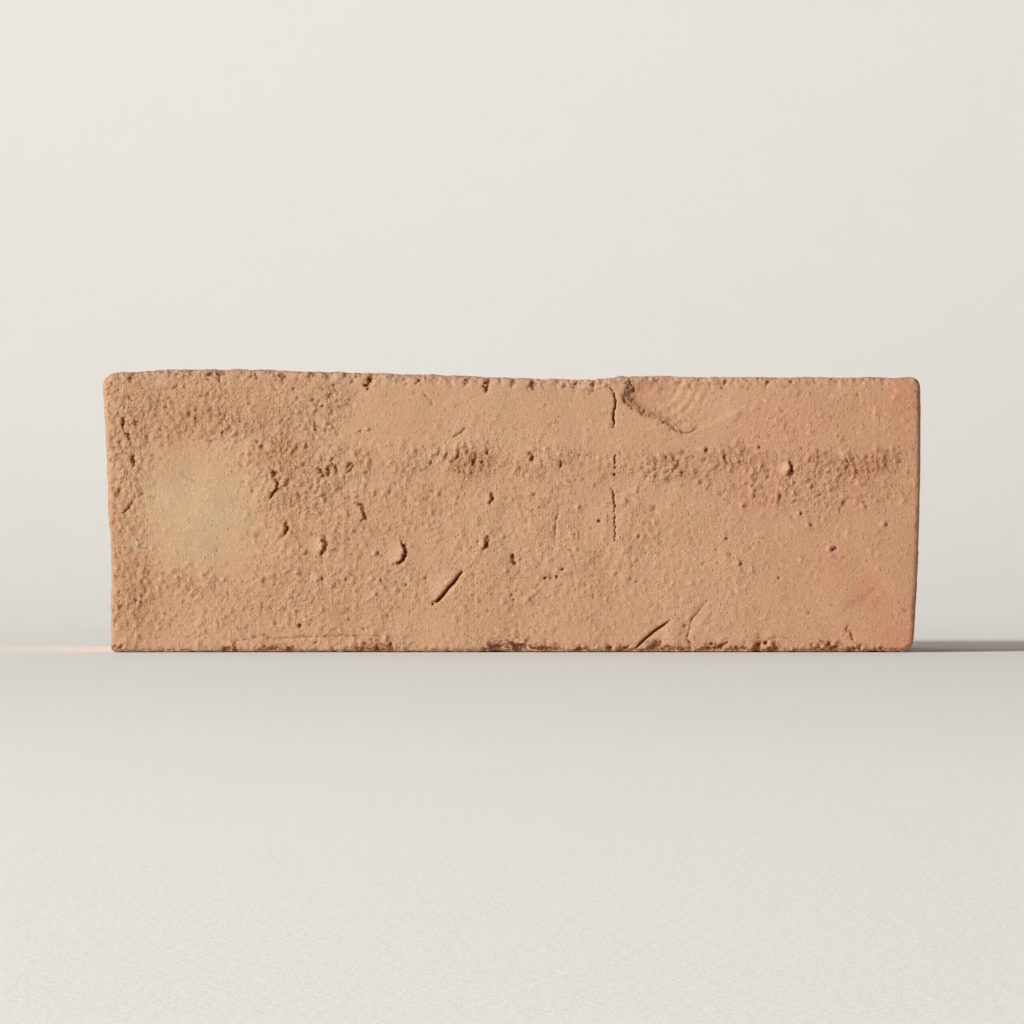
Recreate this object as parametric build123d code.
"""A solid hand-moulded clay brick, pressed and fired as one piece.

The brick lies on its lower bed. X runs along its length, Y through its width and Z up through its height.
The stretcher, the long face that shows in a wall, looks along -Y. The origin is the middle of the lower bed.
"""

from build123d import *
import math
import os

# Overall form, in millimetres. The mould narrows towards the lower bed, so the crown is longer and wider.
bed_length = 225.8
crown_length = 229.8
bed_width = 106.0
crown_width = 110.0

# Height of the crown where it is level, at the right, and how far the struck clay stands above that level on
# its way there from the left end. At the dip it lies below.
level_height = 77.3
shoulder_rise = 1.0
crest_rise = 2.5
plateau_rise = 1.6
slope_rise = 0.4
dip_fall = 0.6
knee_rise = 0.5

# Where those heights lie: the crest from the left end of the crown, the others from the middle of the length.
crest_inset = 22.9
plateau_place = -50.0
slope_place = -14.0
dip_place = 23.0
knee_place = 37.0
level_place = 58.0

# How far each end stands in at half height from a straight line between bed and crown.
left_end_hollow = 0.9
right_end_swell = 0.9

# Rounding of the four edges that run through the width, and of the arrises round the two long faces.
top_left_round = 4.0
top_right_round = 2.8
bottom_left_round = 1.8
bottom_right_round = 3.2
arris_round = 1.5

# Firing crack: it opens below the upper arris, closes, and opens twice more further down. Each stretch is
# the points that it wanders through: how far right of the crack's place, and how far below the dip.
crack_place = 29.0
crack_mouth = 0.5
crack_depth = 3.5
crack_stretches = {
    "upper_stretch": [(-1.1, 2.2), (0.2, 3.9), (0.5, 5.9), (-0.1, 8.8), (0.0, 12.2), (-0.4, 13.7)],
    "middle_stretch": [(0.2, 21.9), (0.2, 24.4), (0.0, 26.9)],
    "lower_stretch": [(-0.7, 30.3), (-0.1, 32.5), (0.2, 36.2), (0.2, 39.8), (0.2, 42.6)],
}

# Lap, where a fold of clay did not knit to the face, and the slit that it leaves.
lap_place = -17.6
lap_height = 18.5
lap_length = 10.6
lap_angle = 50.5
lap_mouth = 0.8
lap_depth = 2.2

# Tear at the lower arris, a slit that rises from the bed.
tear_place = 40.6
tear_length = 9.4
tear_angle = 46.0
tear_mouth = 0.7
tear_depth = 2.4

# Flake scars, where a scale broke off the upper arris: the place where each starts, its length along the
# arris, how far it drops below the arris, and its depth at the left, from where its floor rises to the face.
flake_scars = {
    "large_scar": (28.2, 40.0, 16.0, 2.0),
    "small_scar": (11.5, 16.5, 3.6, 0.8),
}

# Grit: flat stones in the clay, tipped so that the right rim of each stands proud of the face. Each has its
# place along the length, its height above the bed and its radius.
grit_proud = 0.75
grit_thickness = 3.0
grit_rim_bevel = 0.3
grit_stones = {
    "wide_disc": (-33.8, 28.4, 3.3),
    "left_disc": (-54.8, 30.2, 2.7),
    "left_flake": (-68.9, 47.6, 3.4),
    "upper_flake": (-42.6, 39.2, 2.4),
    "small_disc": (-64.7, 35.0, 1.7),
    "middle_pip": (-6.6, 43.4, 1.3),
    "right_pebble": (76.2, 51.8, 2.0),
    "centre_pebble": (-8.4, 30.4, 1.4),
}

# Pores: small voids that open in the face, each with its place, its height and the radius of its mouth. The
# floor is narrower than the mouth by the pore's narrowing, a share of that radius.
pore_depth = 1.1
pore_sides = 7
pore_narrowing = 0.4
pores = {
    "double_pore": (0.9, 25.9, 0.9),
    "pore_under_crack": (24.8, 36.9, 0.6),
    "left_of_three": (9.8, 20.9, 0.8),
    "middle_of_three": (12.7, 21.5, 0.7),
    "right_of_three": (14.5, 23.3, 0.6),
    "low_left_pore": (-59.3, 7.4, 0.8),
    "right_pore": (91.1, 29.2, 0.7),
    "end_pore": (60.6, 31.9, 0.5),
}

# Bites out of the lower arris of the stretcher: place along the length, length of the bite and its depth.
lower_bites = {
    "left_notch": (-78.5, 4.0, 1.0),
    "left_bite": (-65.0, 11.0, 0.7),
    "left_middle_bite": (-38.0, 12.0, 0.9),
    "long_bite": (-1.5, 10.0, 1.2),
    "deep_bite": (2.3, 6.0, 2.1),
    "middle_bite": (9.5, 9.0, 0.9),
    "short_bite": (19.8, 4.5, 0.7),
    "tear_bite": (41.0, 6.5, 1.2),
    "right_bite": (57.0, 7.0, 1.0),
    "right_notch": (69.4, 3.5, 0.9),
    "right_end_bite": (89.0, 8.0, 0.8),
}

# Nicks in the upper arris, V-shaped, where dry clay crumbled as the mould was struck: the place of each, the
# width of its mouth and its depth.
upper_nicks = {
    "left_nick": (-105.8, 4.2, 0.9),
    "left_twin": (-84.4, 3.2, 1.3),
    "right_twin": (-81.4, 3.0, 1.3),
    "crest_nick": (-72.7, 2.0, 0.9),
    "plateau_nick": (-64.0, 2.4, 1.1),
    "slope_nick": (-44.3, 2.0, 0.9),
    "long_nick": (-39.3, 1.8, 1.8),
    "slanting_nick": (-25.2, 2.2, 0.9),
    "middle_nick": (-12.6, 1.8, 1.0),
    "deep_nick": (-7.0, 1.7, 1.5),
    "dip_nick": (6.2, 1.6, 1.4),
    "narrow_nick": (60.3, 1.4, 0.9),
    "right_nick": (71.8, 1.4, 1.0),
    "last_nick": (78.8, 1.6, 1.0),
}

# How much of a sharp corner the rounding takes away, measured along the corner's diagonal.
lost_to_rounding = arris_round * (math.sqrt(2) - 1)

# The waved stretch of the crown from the left shoulder; from its last point the crown runs level.
crest_height = level_height + crest_rise
dip_height = level_height - dip_fall
crown_wave = [
    (-crown_length / 2, level_height + shoulder_rise),
    (-crown_length / 2 + crest_inset, crest_height),
    (plateau_place, level_height + plateau_rise),
    (slope_place, level_height + slope_rise),
    (dip_place, dip_height),
    (knee_place, level_height + knee_rise),
    (level_place, level_height),
]

draft_angle = math.degrees(math.atan((crown_width - bed_width) / 2 / crest_height))
stretcher = Plane(
    origin=(0, -bed_width / 2, 0),
    x_dir=(1, 0, 0),
    z_dir=(0, -math.cos(math.radians(draft_angle)), -math.sin(math.radians(draft_angle))),
)


def front_elevation():
    """Outline of the brick seen from the stretcher side."""
    bed_end, crown_end = bed_length / 2, crown_length / 2
    left_shoulder = (-crown_end, level_height + shoulder_rise)
    right_shoulder = (crown_end, level_height)
    left_middle = (-(bed_end + crown_end) / 2 + left_end_hollow, level_height / 2)
    right_middle = ((bed_end + crown_end) / 2 + right_end_swell, level_height / 2)
    climb = Vector(crest_inset, 2 * (crest_rise - shoulder_rise))
    level = Vector(1, 0)
    with BuildSketch(Plane.XZ.offset(-crown_width)) as outline:
        with BuildLine():
            Line((-bed_end, 0), (bed_end, 0))
            ThreePointArc((bed_end, 0), right_middle, right_shoulder)
            Line(right_shoulder, crown_wave[-1])
            Spline(*crown_wave, tangents=(climb, level))
            ThreePointArc(left_shoulder, left_middle, (-bed_end, 0))
        make_face()
    return outline.sketch


def crown_height(place):
    """Height of the crown above the bed at a place along the length."""
    for (left, left_height), (right, right_height) in zip(crown_wave, crown_wave[1:]):
        if left <= place <= right:
            return left_height + (right_height - left_height) * (place - left) / (right - left)
    return level_height


def end_elevation():
    """The mould seen from one end: the draft of both long faces, carried on above the crest."""
    mould_height = 2 * crest_height
    mould_width = 2 * crown_width - bed_width
    with BuildSketch(Plane.YZ.offset(-crown_length)) as outline:
        with BuildLine():
            Polyline(
                (-bed_width / 2, 0),
                (bed_width / 2, 0),
                (mould_width / 2, mould_height),
                (-mould_width / 2, mould_height),
                close=True,
            )
        make_face()
    return outline.sketch


def round_ends(block):
    """Rounds the four edges that run through the width, each by its own radius."""
    corners = {
        (-crown_length / 2, level_height + shoulder_rise): top_left_round,
        (crown_length / 2, level_height): top_right_round,
        (-bed_length / 2, 0): bottom_left_round,
        (bed_length / 2, 0): bottom_right_round,
    }
    for (place, height), radius in corners.items():
        corner = Vector(place, 0, height)
        through_edges = block.edges().filter_by(Axis.Y)
        block = fillet(min(through_edges, key=lambda edge: (edge.center() - corner).length), radius)
    return block


def moulded_block():
    """The pressed block before anything cracked or broke: draft, waved crown and rounded arrises."""
    elevation = extrude(front_elevation(), amount=2 * crown_width)
    mould = extrude(end_elevation(), amount=2 * crown_length)
    block = round_ends(elevation & mould)
    for which in (0, -1):
        long_face = block.faces().sort_by(Axis.Y)[which]
        block = fillet(long_face.outer_wire().edges(), arris_round)
    return block


def slit(path, mouth, depth):
    """A narrow slot along a path on the stretcher, pointed at both ends."""
    left, right = [], []
    for before, here, after in zip(path, path[1:], path[2:]):
        along = Vector(*after) - Vector(*before)
        across = Vector(-along.Y, along.X).normalized() * (mouth / 2)
        left.append((here[0] + across.X, here[1] + across.Y))
        right.append((here[0] - across.X, here[1] - across.Y))
    with BuildSketch(stretcher) as outline:
        with BuildLine():
            Polyline(path[0], *left, path[-1], *reversed(right), close=True)
        make_face()
    return extrude(outline.sketch, amount=depth, both=True)


def firing_crack():
    """The open stretches of the crack, each a slit through its own points."""
    cuts = []
    for stretch in crack_stretches.values():
        path = [(crack_place + aside, dip_height - drop) for aside, drop in stretch]
        cuts.append(slit(path, crack_mouth, crack_depth))
    return cuts


def straight_slit(place, height, length, angle, mouth, depth):
    """A slit along a straight line about its middle, widest there."""
    run = math.cos(math.radians(angle)) * length / 2
    rise = math.sin(math.radians(angle)) * length / 2
    path = [
        (place - run, height - rise),
        (place - run / 2, height - rise / 2),
        (place + run / 2, height + rise / 2),
        (place + run, height + rise),
    ]
    return slit(path, mouth, depth)


def flake_scar(place, length, drop, depth):
    """The hollow that a scale left when it broke from the upper arris: a sloping floor inside a curved rim."""
    right_end = place + length
    rim_bottom = crown_height(place + length / 2) - drop
    above = crest_height + depth
    with BuildSketch(stretcher) as outline:
        with BuildLine():
            Spline(
                (place, above),
                (place + 0.14 * length, rim_bottom + 0.45 * drop),
                (place + 0.30 * length, rim_bottom + 0.22 * drop),
                (place + 0.55 * length, rim_bottom),
                (place + 0.78 * length, rim_bottom + 0.40 * drop),
                (right_end, above),
            )
            Line((right_end, above), (place, above))
        make_face()
    well = extrude(outline.sketch, amount=2 * depth, both=True)
    floor_slope = math.degrees(math.atan(depth / length))
    floor_hinge = stretcher * Location((right_end, rim_bottom, 0), (0, -floor_slope, 0))
    above_floor = floor_hinge * Box(
        4 * length, 4 * length, 4 * depth, align=(Align.CENTER, Align.CENTER, Align.MIN)
    )
    return well & above_floor


def grit_stone(place, height, radius):
    """A flat stone with a bevelled rim, tipped so that its left rim is flush and its right rim is proud."""
    tip = math.degrees(math.asin(grit_proud / (2 * radius)))
    stone = Cylinder(radius, grit_thickness, align=(Align.CENTER, Align.CENTER, Align.MAX))
    stone = chamfer(stone.edges().sort_by(Axis.Z)[-1], grit_rim_bevel)
    return stretcher * Location((place, height, grit_proud / 2), (0, -tip, 0)) * stone


def pore(place, height, radius):
    """An angular void that narrows inwards from its mouth in the face."""
    with BuildSketch(stretcher * Location((place, height, 0))) as mouth:
        RegularPolygon(radius, pore_sides)
    lean = math.degrees(math.atan(pore_narrowing * radius / pore_depth))
    return extrude(mouth.sketch, amount=-pore_depth, taper=lean)


def arris_bite(place, length, depth):
    """A rounded bite out of the lower arris of the stretcher."""
    radius = (length**2 / 4 + depth**2) / (2 * depth)
    stand_off = (radius - depth - lost_to_rounding) * math.sqrt(0.5)
    return stretcher * Location((place, -stand_off, stand_off)) * Sphere(radius)


def arris_nick(place, mouth, depth):
    """A V-shaped nick out of the upper arris of the stretcher, cut square to the corner's diagonal."""
    tip = lost_to_rounding + depth
    with BuildSketch(stretcher * Location((place, crown_height(place), 0), (45, 0, 0))) as outline:
        Polygon((0, -tip), (mouth, 2 * depth - tip), (-mouth, 2 * depth - tip), align=None)
    return extrude(outline.sketch, amount=2 * tip, both=True)


def clay_brick():
    """The fired brick: the block, its proud stones, and everything that cracked, tore or broke away."""
    brick = moulded_block()
    for place, height, radius in grit_stones.values():
        brick += grit_stone(place, height, radius)
    cuts = firing_crack()
    cuts.append(straight_slit(lap_place, lap_height, lap_length, lap_angle, lap_mouth, lap_depth))
    tear_height = math.sin(math.radians(tear_angle)) * tear_length / 2 + arris_round
    cuts.append(straight_slit(tear_place, tear_height, tear_length, tear_angle, tear_mouth, tear_depth))
    for place, length, drop, depth in flake_scars.values():
        cuts.append(flake_scar(place, length, drop, depth))
    for place, height, radius in pores.values():
        cuts.append(pore(place, height, radius))
    for place, length, depth in lower_bites.values():
        cuts.append(arris_bite(place, length, depth))
    for place, mouth, depth in upper_nicks.values():
        cuts.append(arris_nick(place, mouth, depth))
    for cut in cuts:
        brick -= cut
    return brick


brick = clay_brick()
box = brick.bounding_box()
brick = Pos(-box.center().X, -box.center().Y, -box.min.Z) * brick

os.makedirs("parts", exist_ok=True)
export_step(brick, "parts/clay_brick.step")
print("clay brick", brick.bounding_box().size, "volume", round(brick.volume))
